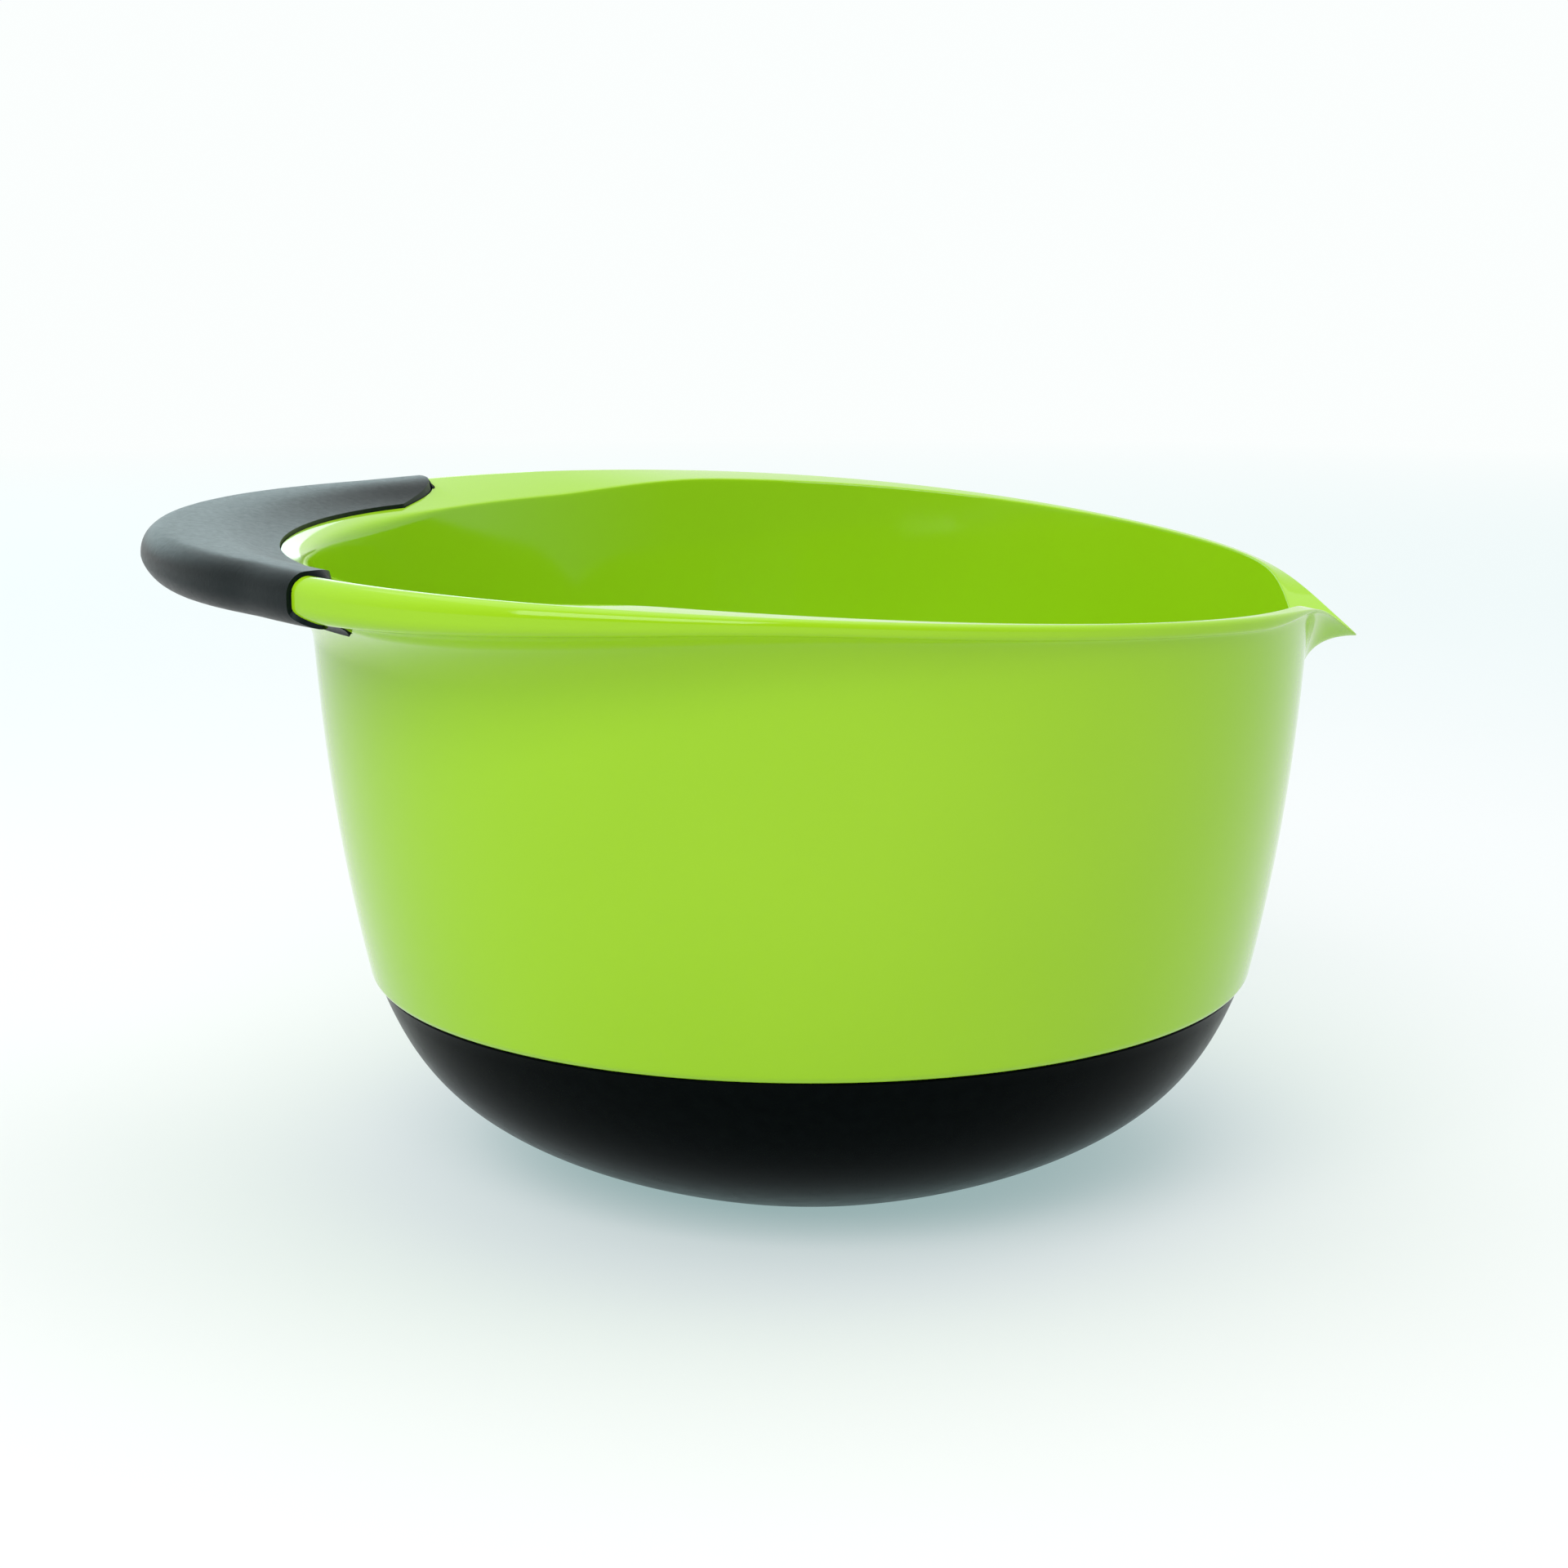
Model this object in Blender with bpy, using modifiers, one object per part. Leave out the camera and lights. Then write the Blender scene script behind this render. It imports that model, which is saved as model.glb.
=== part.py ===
"""A mixing bowl: a rigid shell with a pouring spout, a soft grip over its handle and a soft cap under it.

Metres, +Z up. The origin is the middle of the foot, on the bowl's axis. The spout points to +X, the handle
to -X, and everything is symmetric about the XZ plane. Angles round the bowl are counted from the spout.
"""

from math import atan, cos, exp, hypot, pi, radians, sin, sqrt, tan

import bmesh
import bpy

GAP = 0.0003

# The shell's wall, from the rim's underside down to the edge of the base cap.
WALL_TOP_Z = 0.1295
WALL_TOP_RADIUS = 0.1240
WALL_END_Z = 0.0490
WALL_TAPER = 0.072
WALL_BELLY = 0.0060
WALL_BELLY_POWER = 2.16
WALL_THICKNESS = 0.0030
WALL_EDGE_ROUND = 0.0030
WALL_EDGE_TURN = radians(58)

# The shell's inside: its flat bottom, where the curve above it starts, and where the straight wall starts.
FLOOR_RADIUS = 0.0440
BOWL_CURVE_Z = 0.0085
INNER_WALL_Z = 0.0650

# The base cap's outside: a curve from its top edge to the flat foot.
CAP_TOP_RADIUS = 0.1108
CAP_TOP_Z = WALL_END_Z - GAP
CAP_TOP_LEAN = radians(20)
CAP_TOP_PULL = 0.0255
FOOT_RADIUS = 0.0546
FOOT_LEAN = radians(20)
FOOT_PULL = 0.0380
CAP_THICKNESS = 0.0022

# The rim's crest: its distance from the axis and its height, at the spout's sides and at the handle.
CREST_RADIUS_FRONT = 0.1260
CREST_RADIUS_BACK = 0.1488
CREST_WIDENS_FROM = radians(40)
CREST_WIDENS_TO = radians(165)
CREST_HEIGHT_BACK = 0.1620
CREST_FALL = 0.0150
CREST_FALL_POWER = 2.05

# The spout: how far the crest is pulled out and down at its point, and the notch in the fold behind it.
SPOUT_REACH = 0.0118
SPOUT_DROP = 0.0130
SPOUT_SPREAD = radians(6.2)
SPOUT_DROP_SPREAD = radians(8.0)
SPOUT_BLUNTNESS = radians(1.0)
NOTCH_DEPTH = 0.0113
NOTCH_SPREAD = radians(10.5)

# The rim's edge: its height, its rounding, and how far below it the underside meets the wall.
EDGE_FRONT = 0.0036
EDGE_BACK = 0.0105
EDGE_GROWS_FROM = radians(85)
EDGE_GROWS_TO = radians(140)
EDGE_AT_SPOUT = 0.0005
EDGE_THINS_FROM = radians(34)
EDGE_THINS_TO = radians(12)
EDGE_ROUND_SHARE = 0.4
UNDERCUT_LEAST = 0.0040
UNDERCUT_MOST = 0.0160
UNDERCUT_WIDTH = 0.0080
UNDERSIDE_PULL = 0.5
UNDERSIDE_PULL_AT_SPOUT = 0.8
JOIN_PULL = 0.37

# The rim's inner side: the wall turns at a fold into a ledge that rises gently to the crest.
INNER_LEAN = 0.020
FOLD_ROUND = 0.0013
FOLD_ROUND_AT_HANDLE = 0.0070
FOLD_SOFTENS_FROM = radians(142)
FOLD_SOFTENS_TO = radians(165)
LEDGE_SLOPE_FRONT = radians(4)
LEDGE_SLOPE_BACK = radians(14.5)
LEDGE_STEEPENS_FROM = radians(103)
LEDGE_STEEPENS_TO = radians(127)

# The grip: a crescent round the handle, rounded off above the rim at each end, with a tongue below it.
GRIP_ARC_CENTRE = 0.0570
GRIP_ARC_RADIUS = 0.1100
GRIP_END = radians(40.6)
GRIP_TOP_ROUND = radians(10.3)
GRIP_TOP_ROUND_POWER = 2.2
GRIP_TOP_SHARE = 0.40
GRIP_LOW_TONGUE = radians(2.4)
GRIP_LOW_SHARE = 0.72
GRIP_LOW_WIDTH = 0.12
GRIP_LOW_CUT = radians(2.5)
GRIP_INNER_RADIUS = 0.1320
GRIP_INNER_NARROWS = 0.0060
GRIP_RISE = 0.0022
GRIP_CROWN = 0.0004
GRIP_TOP_PULL = 0.4
GRIP_PARTING_DEPTH = 0.0074
GRIP_DEPTH = 0.0135
GRIP_ROUND = 0.0068
GRIP_LOW_LEAN = radians(25)
GRIP_PROUD = 0.0010
GRIP_BLEND = 0.0015
GRIP_RECESS = 0.0018

# How finely the shapes are divided. The shell's columns are closer together near the spout.
SHELL_COLUMNS = 30
SPOUT_CROWDING = 1.3
CAP_STEPS = 72
GRIP_COLUMNS = 24
GRIP_POINTS = 22
CURVE_STEPS = 6
JOIN_STEPS = 4
CAP_CURVE_STEPS = 10
WALL_STEPS = 6
STRAIGHT_STEPS = 4
ROUND_STEPS = 3
GRIP_LAST_POINT = -4

GREEN = (0.370, 0.670, 0.045)
BLACK = (0.012, 0.014, 0.015)


def ease(t):
    """0 to 1, level at both ends."""
    t = min(max(t, 0.0), 1.0)
    return t * t * (3 - 2 * t)


def between(a, b, t):
    return a + (b - a) * t


def curve(start, start_pull, end_pull, end, steps):
    """A cubic curve through start and end, as steps + 1 points."""
    points = []
    for i in range(steps + 1):
        t = i / steps
        weights = ((1 - t) ** 3, 3 * (1 - t) ** 2 * t, 3 * (1 - t) * t * t, t**3)
        corners = (start, start_pull, end_pull, end)
        points.append(tuple(sum(w * c[k] for w, c in zip(weights, corners)) for k in (0, 1)))
    return points


def arc(centre, radius, start, end, steps):
    """Points on a circle in the section plane, from one angle to another."""
    turns = [between(start, end, i / steps) for i in range(steps + 1)]
    return [(centre[0] + radius * cos(a), centre[1] + radius * sin(a)) for a in turns]


def offset(points, distance):
    """The same line moved sideways, to the left of its direction."""
    moved = []
    last = len(points) - 1
    for i, (r, z) in enumerate(points):
        before, after = points[max(i - 1, 0)], points[min(i + 1, last)]
        along = (after[0] - before[0], after[1] - before[1])
        length = hypot(*along)
        moved.append((r - distance * along[1] / length, z + distance * along[0] / length))
    return moved


def ahead(line, distance):
    """The point this far beyond the end of a line, straight on."""
    (r0, z0), (r1, z1) = line[-2:]
    length = hypot(r1 - r0, z1 - z0)
    return (r1 + distance * (r1 - r0) / length, z1 + distance * (z1 - z0) / length)


def join(line, following):
    """One line carried on into another by a soft curve."""
    start, end = line[-1], following[0]
    pull = JOIN_PULL * hypot(end[0] - start[0], end[1] - start[1])
    bridge = curve(start, ahead(line, pull), ahead(following[::-1], pull), end, JOIN_STEPS)
    return line + bridge[1:-1] + following


# The bowl's shape, as functions of the angle from the spout.


def wall_radius(z):
    below = max(WALL_TOP_Z - z, 0.0)
    belly = WALL_BELLY * (below / (WALL_TOP_Z - WALL_END_Z)) ** WALL_BELLY_POWER
    return WALL_TOP_RADIUS + WALL_TAPER * (z - WALL_TOP_Z) - belly


def inner_radius(z):
    """The inner wall: the outer wall less its thickness, which falls slightly towards the top."""
    return wall_radius(z) - WALL_THICKNESS + INNER_LEAN * max(z - INNER_WALL_Z, 0)


def spout_pull(angle, spread):
    """1 at the spout's point, fading to 0 along the rim."""
    away = hypot(angle, SPOUT_BLUNTNESS) - SPOUT_BLUNTNESS
    return exp(-away / spread)


def plain_crest(angle):
    """The crest as it would run without the spout: (distance from the axis, height)."""
    widening = ease((angle - CREST_WIDENS_FROM) / (CREST_WIDENS_TO - CREST_WIDENS_FROM))
    radius = between(CREST_RADIUS_FRONT, CREST_RADIUS_BACK, widening)
    height = CREST_HEIGHT_BACK - CREST_FALL * ((1 + cos(angle)) / 2) ** CREST_FALL_POWER
    return radius, height


def crest(angle):
    """The rim's outermost line on top: (distance from the axis, height)."""
    radius, height = plain_crest(angle)
    radius += SPOUT_REACH * spout_pull(angle, SPOUT_SPREAD)
    height -= SPOUT_DROP * spout_pull(angle, SPOUT_DROP_SPREAD)
    return radius, height


def edge_height(angle):
    """How high the rim's outer edge is: highest at the handle, and thin at the spout."""
    growth = ease((angle - EDGE_GROWS_FROM) / (EDGE_GROWS_TO - EDGE_GROWS_FROM))
    thinning = ease((angle - EDGE_THINS_FROM) / (EDGE_THINS_TO - EDGE_THINS_FROM))
    return between(between(EDGE_FRONT, EDGE_BACK, growth), EDGE_AT_SPOUT, thinning)


def underside(start, end, level_pull=UNDERSIDE_PULL):
    """A soft curve from a lip's lower edge in to the wall."""
    start_pull = (between(start[0], end[0], level_pull), start[1])
    rise = UNDERSIDE_PULL * (start[1] - end[1])
    end_pull = (end[0] + WALL_TAPER * rise, end[1] + rise)
    return curve(start, start_pull, end_pull, end, CURVE_STEPS)


def undercut(angle):
    """How far below the rim's lower edge its underside meets the wall: further for a wider rim."""
    width = crest(angle)[0] - WALL_TOP_RADIUS
    return between(UNDERCUT_MOST, UNDERCUT_LEAST, exp(-width / UNDERCUT_WIDTH))


def fold(angle):
    """Where the inner wall turns into the ledge: (distance from the axis, height)."""
    crest_r, crest_z = plain_crest(angle)
    steepening = ease((angle - LEDGE_STEEPENS_FROM) / (LEDGE_STEEPENS_TO - LEDGE_STEEPENS_FROM))
    slope = between(LEDGE_SLOPE_FRONT, LEDGE_SLOPE_BACK, steepening)
    ledge_drop = (crest_r - inner_radius(crest_z)) * tan(slope)
    z = crest_z - ledge_drop - NOTCH_DEPTH * exp(-((angle / NOTCH_SPREAD) ** 2))
    return inner_radius(z), z


def ledge_slope(angle):
    """The ledge's slope from the fold to the crest: below level at the spout, where it leads down."""
    crest_r, crest_z = crest(angle)
    fold_r, fold_z = fold(angle)
    return atan((crest_z - fold_z) / (crest_r - fold_r))


def flare(angle):
    """The rim's inner side: the top of the wall, the fold, and the ledge from there to the crest."""
    crest_r, crest_z = crest(angle)
    fold_r, fold_z = fold(angle)
    slope = ledge_slope(angle)
    rounding = EDGE_ROUND_SHARE * edge_height(angle)
    ledge_end = (crest_r - rounding * sin(slope), crest_z - rounding * (1 - cos(slope)))
    softening = ease((angle - FOLD_SOFTENS_FROM) / (FOLD_SOFTENS_TO - FOLD_SOFTENS_FROM))
    fold_round = between(FOLD_ROUND, FOLD_ROUND_AT_HANDLE, softening)
    fold_round = min(fold_round, (ledge_end[0] - fold_r) / 2)
    before = (inner_radius(fold_z - fold_round), fold_z - fold_round)
    after = (fold_r + fold_round * cos(slope), fold_z + fold_round * sin(slope))
    return curve(before, fold(angle), fold(angle), after, ROUND_STEPS) + [ledge_end]


def rim(angle, inset=0.0):
    """The shell's rim, from the inner wall to the outer wall, or a line this far under its surface."""
    crest_r, crest_z = crest(angle)
    height = edge_height(angle)
    rounding = EDGE_ROUND_SHARE * height
    inset_round = max(rounding - inset, rounding / 4)
    outer = crest_r + rounding - inset
    top_z = crest_z - inset
    end_z = crest_z - height - undercut(angle)
    points = offset(flare(angle), -inset)[:-1]
    centre = (outer - inset_round, top_z - inset_round)
    points += arc(centre, inset_round, pi / 2 + ledge_slope(angle), 0, ROUND_STEPS)
    low_centre = (outer - inset_round, top_z - height + 2 * inset + inset_round)
    points += arc(low_centre, inset_round, 0, -pi / 2, ROUND_STEPS)
    level_pull = between(UNDERSIDE_PULL, UNDERSIDE_PULL_AT_SPOUT, spout_pull(angle, SPOUT_SPREAD))
    return points + underside(points[-1], (wall_radius(end_z) - inset, end_z), level_pull)[1:]


def cap_outside():
    """The base cap's outer line, from its top edge down to the foot's edge."""
    top = (CAP_TOP_RADIUS, CAP_TOP_Z)
    foot = (FOOT_RADIUS, 0.0)
    top_pull = (top[0] - CAP_TOP_PULL * sin(CAP_TOP_LEAN), top[1] - CAP_TOP_PULL * cos(CAP_TOP_LEAN))
    foot_pull = (foot[0] + FOOT_PULL * cos(FOOT_LEAN), foot[1] + FOOT_PULL * sin(FOOT_LEAN))
    return curve(top, top_pull, foot_pull, foot, CAP_CURVE_STEPS)


def cap_inside():
    """The base cap's inner line, from its top edge down to its flat floor."""
    line = offset(cap_outside(), -CAP_THICKNESS)
    line[0] = (line[0][0], CAP_TOP_Z)
    kept = [point for point in line if point[1] > CAP_THICKNESS]
    return kept + [(kept[-1][0] - CAP_THICKNESS, CAP_THICKNESS)]


def seat_in_cap():
    """The shell's line inside the cap, clear of it by the gap."""
    line = offset(cap_inside(), -GAP)
    return [(line[0][0], WALL_END_Z)] + line[1:-1] + [(line[-1][0] - GAP, CAP_THICKNESS + GAP)]


def shell_outside(angle):
    """The outer side below the rim: the wall, its rounded lower edge, the step and the part in the cap."""
    start_z = rim(angle)[-1][1]
    slope = atan(WALL_TAPER + WALL_BELLY * WALL_BELLY_POWER / (WALL_TOP_Z - WALL_END_Z))
    round_z = WALL_END_Z + WALL_EDGE_ROUND * (sin(WALL_EDGE_TURN) - sin(slope))
    points = []
    for i in range(1, WALL_STEPS + 1):
        z = between(start_z, round_z, i / WALL_STEPS)
        points.append((wall_radius(z), z))
    r, z = points[-1]
    centre = (r - WALL_EDGE_ROUND * cos(slope), z + WALL_EDGE_ROUND * sin(slope))
    points += arc(centre, WALL_EDGE_ROUND, -slope, -WALL_EDGE_TURN, ROUND_STEPS)[1:]
    return points + seat_in_cap()


def shell_inside(angle):
    """The inner side, from the flat bottom up to the start of the flare."""
    floor_z = CAP_THICKNESS + GAP + WALL_THICKNESS
    floor = [(FLOOR_RADIUS / 2, floor_z), (FLOOR_RADIUS, floor_z)]
    bowl = [point for point in offset(cap_outside(), -floor_z)[::-1] if point[1] > BOWL_CURVE_Z]
    top_z = flare(angle)[0][1]
    wall = []
    for i in range(STRAIGHT_STEPS):
        z = between(INNER_WALL_Z, top_z, i / STRAIGHT_STEPS)
        wall.append((inner_radius(z), z))
    return join(join(floor, bowl), wall)


def stretch(points, start, end, count):
    """Points evenly spaced along a line, between two distances from its first point."""
    lengths = [0.0]
    for here, following in zip(points, points[1:]):
        lengths.append(lengths[-1] + hypot(following[0] - here[0], following[1] - here[1]))
    spaced = []
    for i in range(count):
        distance = between(start, end, i / (count - 1))
        k = max(j for j in range(len(points) - 1) if j == 0 or lengths[j] <= distance)
        t = (distance - lengths[k]) / (lengths[k + 1] - lengths[k])
        spaced.append(tuple(between(points[k][a], points[k + 1][a], t) for a in (0, 1)))
    return spaced


def distance_to(points, radius):
    """How far along a line it is to the first point at this distance from the axis."""
    walked = 0.0
    for here, following in zip(points, points[1:]):
        step = hypot(following[0] - here[0], following[1] - here[1])
        if following[0] >= radius:
            return walked + step * (radius - here[0]) / (following[0] - here[0])
        walked += step
    return walked


def length_of(points):
    return sum(hypot(b[0] - a[0], b[1] - a[1]) for a, b in zip(points, points[1:]))


def grip_end(share):
    """The grip's half angle, at a share of the way over its section: rounded above, a tongue below."""
    top = max(1 - share / GRIP_TOP_SHARE, 0) ** GRIP_TOP_ROUND_POWER
    low = ease(1 - abs(share - GRIP_LOW_SHARE) / GRIP_LOW_WIDTH)
    inmost = ease((share - GRIP_LOW_SHARE - GRIP_LOW_WIDTH / 2) / GRIP_LOW_WIDTH)
    return GRIP_END - GRIP_TOP_ROUND * top + GRIP_LOW_TONGUE * low - GRIP_LOW_CUT * inmost


def grip_span(line, inner_r):
    """Where the grip starts and ends on a line over the rim, as distances from its first point."""
    return distance_to(line, inner_r), length_of(line) - length_of(line[GRIP_LAST_POINT:])


def grip_lines(away):
    """The grip's outer and inner line, at an angle away from the handle's middle."""
    angle = pi - away
    crest_r, crest_z = crest(angle)
    body = ease(1 - away / GRIP_END)
    inner_r = GRIP_INNER_RADIUS - GRIP_INNER_NARROWS * (away / GRIP_END) ** 3
    seat = rim(angle, GRIP_RECESS)
    inner = stretch(seat, *grip_span(seat, inner_r), GRIP_POINTS)
    skin = offset(rim(angle), GRIP_PROUD)
    first, last = stretch(skin, *grip_span(skin, inner_r), 2)

    arc_r = GRIP_ARC_CENTRE * cos(away) + sqrt(GRIP_ARC_RADIUS**2 - (GRIP_ARC_CENTRE * sin(away)) ** 2)
    height = edge_height(angle)
    edge_round = EDGE_ROUND_SHARE * height + GRIP_PROUD
    rim_r = crest_r + edge_round
    outer_r = (arc_r + rim_r + hypot(arc_r - rim_r, GRIP_BLEND)) / 2
    rounding = between(edge_round, GRIP_ROUND, body)
    top_z = crest_z + between(GRIP_PROUD, GRIP_RISE, body)
    parting_z = top_z - between(height / 2 + GRIP_PROUD, GRIP_PARTING_DEPTH, body)
    bottom_z = top_z - between(height + 2 * GRIP_PROUD, GRIP_DEPTH, body)
    lip_r = outer_r - rounding
    reach = GRIP_TOP_PULL * (lip_r - first[0])
    first_pull = (first[0] + reach, first[1] + reach * sin(LEDGE_SLOPE_BACK))
    crest_pull = ((lip_r + first[0]) / 2, top_z - GRIP_CROWN * body)
    points = curve(first, first_pull, crest_pull, (lip_r, top_z), CURVE_STEPS)[:-1]
    points += arc((lip_r, top_z - rounding), rounding, pi / 2, 0, ROUND_STEPS)
    lean = GRIP_LOW_LEAN * body
    low_round = between(edge_round, (parting_z - bottom_z) / (1 - sin(lean)), body)
    low_centre = (outer_r - low_round * cos(lean), bottom_z + low_round)
    points += arc(low_centre, low_round, -lean, -pi / 2, ROUND_STEPS)
    whole = points + underside(points[-1], last)[1:]
    return stretch(whole, 0, length_of(whole), GRIP_POINTS), inner


# Meshes.


def place(angle, point):
    return (point[0] * cos(angle), point[0] * sin(angle), point[1])


def add_object(name, mesh, material, collection):
    obj = bpy.data.objects.new(name, mesh)
    mesh.materials.append(material)
    collection.objects.link(obj)
    return obj


def plastic(name, colour, roughness):
    material = bpy.data.materials.new(name)
    material.use_nodes = True
    shader = material.node_tree.nodes["Principled BSDF"]
    shader.inputs["Base Color"].default_value = (*colour, 1)
    shader.inputs["Roughness"].default_value = roughness
    shader.inputs["Metallic"].default_value = 0
    return material


def finish_mesh(name, bm):
    bmesh.ops.remove_doubles(bm, verts=bm.verts, dist=1e-6)
    bmesh.ops.recalc_face_normals(bm, faces=bm.faces)
    mesh = bpy.data.meshes.new(name)
    bm.to_mesh(mesh)
    bm.free()
    mesh.shade_smooth()
    mesh.set_sharp_from_angle(angle=radians(35))
    return mesh


def shell_mesh():
    """A loft of the shell's sections round the axis. They differ from each other, so it can't be turned."""
    half = [pi * (i / SHELL_COLUMNS) ** SPOUT_CROWDING for i in range(SHELL_COLUMNS + 1)]
    turns = half + [-angle for angle in half[-2:0:-1]]
    bm = bmesh.new()
    rings = []
    for turn in turns:
        angle = abs(turn)
        outline = shell_inside(angle) + rim(angle) + shell_outside(angle)
        rings.append([bm.verts.new(place(turn, point)) for point in outline])
    inner = bm.verts.new((0, 0, CAP_THICKNESS + GAP + WALL_THICKNESS))
    outer = bm.verts.new((0, 0, CAP_THICKNESS + GAP))
    for ring, following in zip(rings, rings[1:] + rings[:1]):
        bm.faces.new((inner, following[0], ring[0]))
        bm.faces.new((outer, ring[-1], following[-1]))
        for i in range(len(ring) - 1):
            bm.faces.new((ring[i], following[i], following[i + 1], ring[i + 1]))
    return finish_mesh("bowl_shell", bm)


def grip_mesh():
    """A loft of the grip's sections along the crescent."""
    bm = bmesh.new()
    columns = []
    for k in range(GRIP_COLUMNS + 1):
        swing = between(-1, 1, k / GRIP_COLUMNS)
        outer = []
        inner = []
        for i in range(GRIP_POINTS):
            away = abs(swing) * grip_end(i / (GRIP_POINTS - 1))
            turn = pi - away if swing > 0 else pi + away
            lines = grip_lines(away)
            outer.append(bm.verts.new(place(turn, lines[0][i])))
            inner.append(bm.verts.new(place(turn, lines[1][i])))
        columns.append(outer + inner[::-1])
    for ring, following in zip(columns, columns[1:]):
        for i in range(len(ring)):
            j = (i + 1) % len(ring)
            bm.faces.new((ring[i], following[i], following[j], ring[j]))
    for ring in (columns[0], columns[-1]):
        for i in range(GRIP_POINTS - 1):
            bm.faces.new((ring[i], ring[i + 1], ring[-i - 2], ring[-i - 1]))
    bmesh.ops.triangulate(bm, faces=bm.faces)
    return finish_mesh("handle_grip", bm)


def cutter_mesh(mesh):
    """A copy of a mesh with its surface pushed out by the gap."""
    bm = bmesh.new()
    bm.from_mesh(mesh)
    for vert, move in [(vert, vert.normal * GAP * vert.calc_shell_factor()) for vert in bm.verts]:
        vert.co += move
    return finish_mesh("grip_cutter", bm)


def cap_object(material, collection):
    """The base cap: its section turned about the axis."""
    outline = [(0.0, CAP_THICKNESS)] + cap_inside()[::-1] + cap_outside() + [(0.0, 0.0)]
    bm = bmesh.new()
    points = [bm.verts.new((r, 0, z)) for r, z in outline]
    for here, following in zip(points, points[1:]):
        bm.edges.new((here, following))
    mesh = bpy.data.meshes.new("base_cap")
    bm.to_mesh(mesh)
    bm.free()
    cap = add_object("base_cap", mesh, material, collection)
    screw = cap.modifiers.new("turn", "SCREW")
    screw.axis = "Z"
    screw.angle = 2 * pi
    screw.steps = CAP_STEPS
    screw.render_steps = CAP_STEPS
    screw.use_merge_vertices = True
    screw.merge_threshold = 1e-5
    screw.use_smooth_shade = True
    return cap


def recess(shell, cutter):
    """Cuts the grip's seat into the shell."""
    cutter.hide_render = True
    cutter.display_type = "WIRE"
    cut = shell.modifiers.new("grip_seat", "BOOLEAN")
    cut.operation = "DIFFERENCE"
    cut.solver = "EXACT"
    cut.object = cutter


def build():
    for obj in list(bpy.data.objects):
        bpy.data.objects.remove(obj, do_unlink=True)
    parts = bpy.data.collections.new("mixing_bowl")
    cutters = bpy.data.collections.new("cutters")
    bpy.context.scene.collection.children.link(parts)
    bpy.context.scene.collection.children.link(cutters)

    green = plastic("green_plastic", GREEN, 0.25)
    grip_rubber = plastic("grip_rubber", BLACK, 0.55)
    base_rubber = plastic("base_rubber", BLACK, 0.5)
    frame = bpy.data.objects.new("mixing_bowl_frame", None)
    parts.objects.link(frame)

    shell = add_object("bowl_shell", shell_mesh(), green, parts)
    grip = add_object("handle_grip", grip_mesh(), grip_rubber, parts)
    cap = cap_object(base_rubber, parts)
    cutter = add_object("grip_cutter", cutter_mesh(grip.data), green, cutters)
    recess(shell, cutter)
    for piece in (shell, grip, cap):
        piece.parent = frame


build()
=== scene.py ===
"""A green mixing bowl with a soft black grip and a soft black base cap, on a pale studio floor."""

from math import atan, cos, exp, hypot, pi, radians, sin, sqrt, tan

import bmesh
import bpy
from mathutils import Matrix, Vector


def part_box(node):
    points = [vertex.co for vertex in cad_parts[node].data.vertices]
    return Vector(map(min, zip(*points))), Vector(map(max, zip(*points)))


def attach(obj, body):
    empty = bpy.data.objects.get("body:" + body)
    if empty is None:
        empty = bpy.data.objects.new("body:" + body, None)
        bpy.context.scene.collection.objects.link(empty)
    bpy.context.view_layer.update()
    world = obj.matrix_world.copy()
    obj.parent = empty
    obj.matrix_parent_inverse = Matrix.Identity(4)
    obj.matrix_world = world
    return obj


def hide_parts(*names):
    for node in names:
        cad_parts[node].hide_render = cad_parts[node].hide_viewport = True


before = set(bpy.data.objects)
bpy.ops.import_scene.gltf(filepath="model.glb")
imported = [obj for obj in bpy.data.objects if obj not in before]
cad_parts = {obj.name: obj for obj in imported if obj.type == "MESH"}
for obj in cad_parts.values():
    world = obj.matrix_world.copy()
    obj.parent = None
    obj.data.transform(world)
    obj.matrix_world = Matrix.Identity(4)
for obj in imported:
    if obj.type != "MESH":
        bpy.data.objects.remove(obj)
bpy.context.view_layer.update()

GAP = 0.0003

shell_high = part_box("bowl_shell")[1]
cap_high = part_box("base_cap")[1]
grip_low, grip_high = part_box("handle_grip")

# The shell's wall, and its inside: the flat bottom, where the curve above it starts, and where the wall does.
WALL_TOP_Z = 0.1295
WALL_TOP_RADIUS = 0.1240
WALL_END_Z = cap_high.z + GAP
WALL_TAPER = 0.072
WALL_BELLY = 0.0060
WALL_BELLY_POWER = 2.16
WALL_THICKNESS = 0.0030
WALL_EDGE_ROUND = 0.0030
WALL_EDGE_TURN = radians(58)
FLOOR_RADIUS = 0.0440
BOWL_CURVE_Z = 0.0085
INNER_WALL_Z = 0.0650
INNER_LEAN = 0.020

# The base cap.
CAP_TOP_RADIUS = cap_high.x
CAP_TOP_Z = cap_high.z
CAP_TOP_LEAN = radians(20)
CAP_TOP_PULL = 0.0255
FOOT_RADIUS = 0.0546
FOOT_LEAN = radians(20)
FOOT_PULL = 0.0380
CAP_THICKNESS = 0.0022
CAP_EDGE_ROUND = 0.0005

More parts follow.
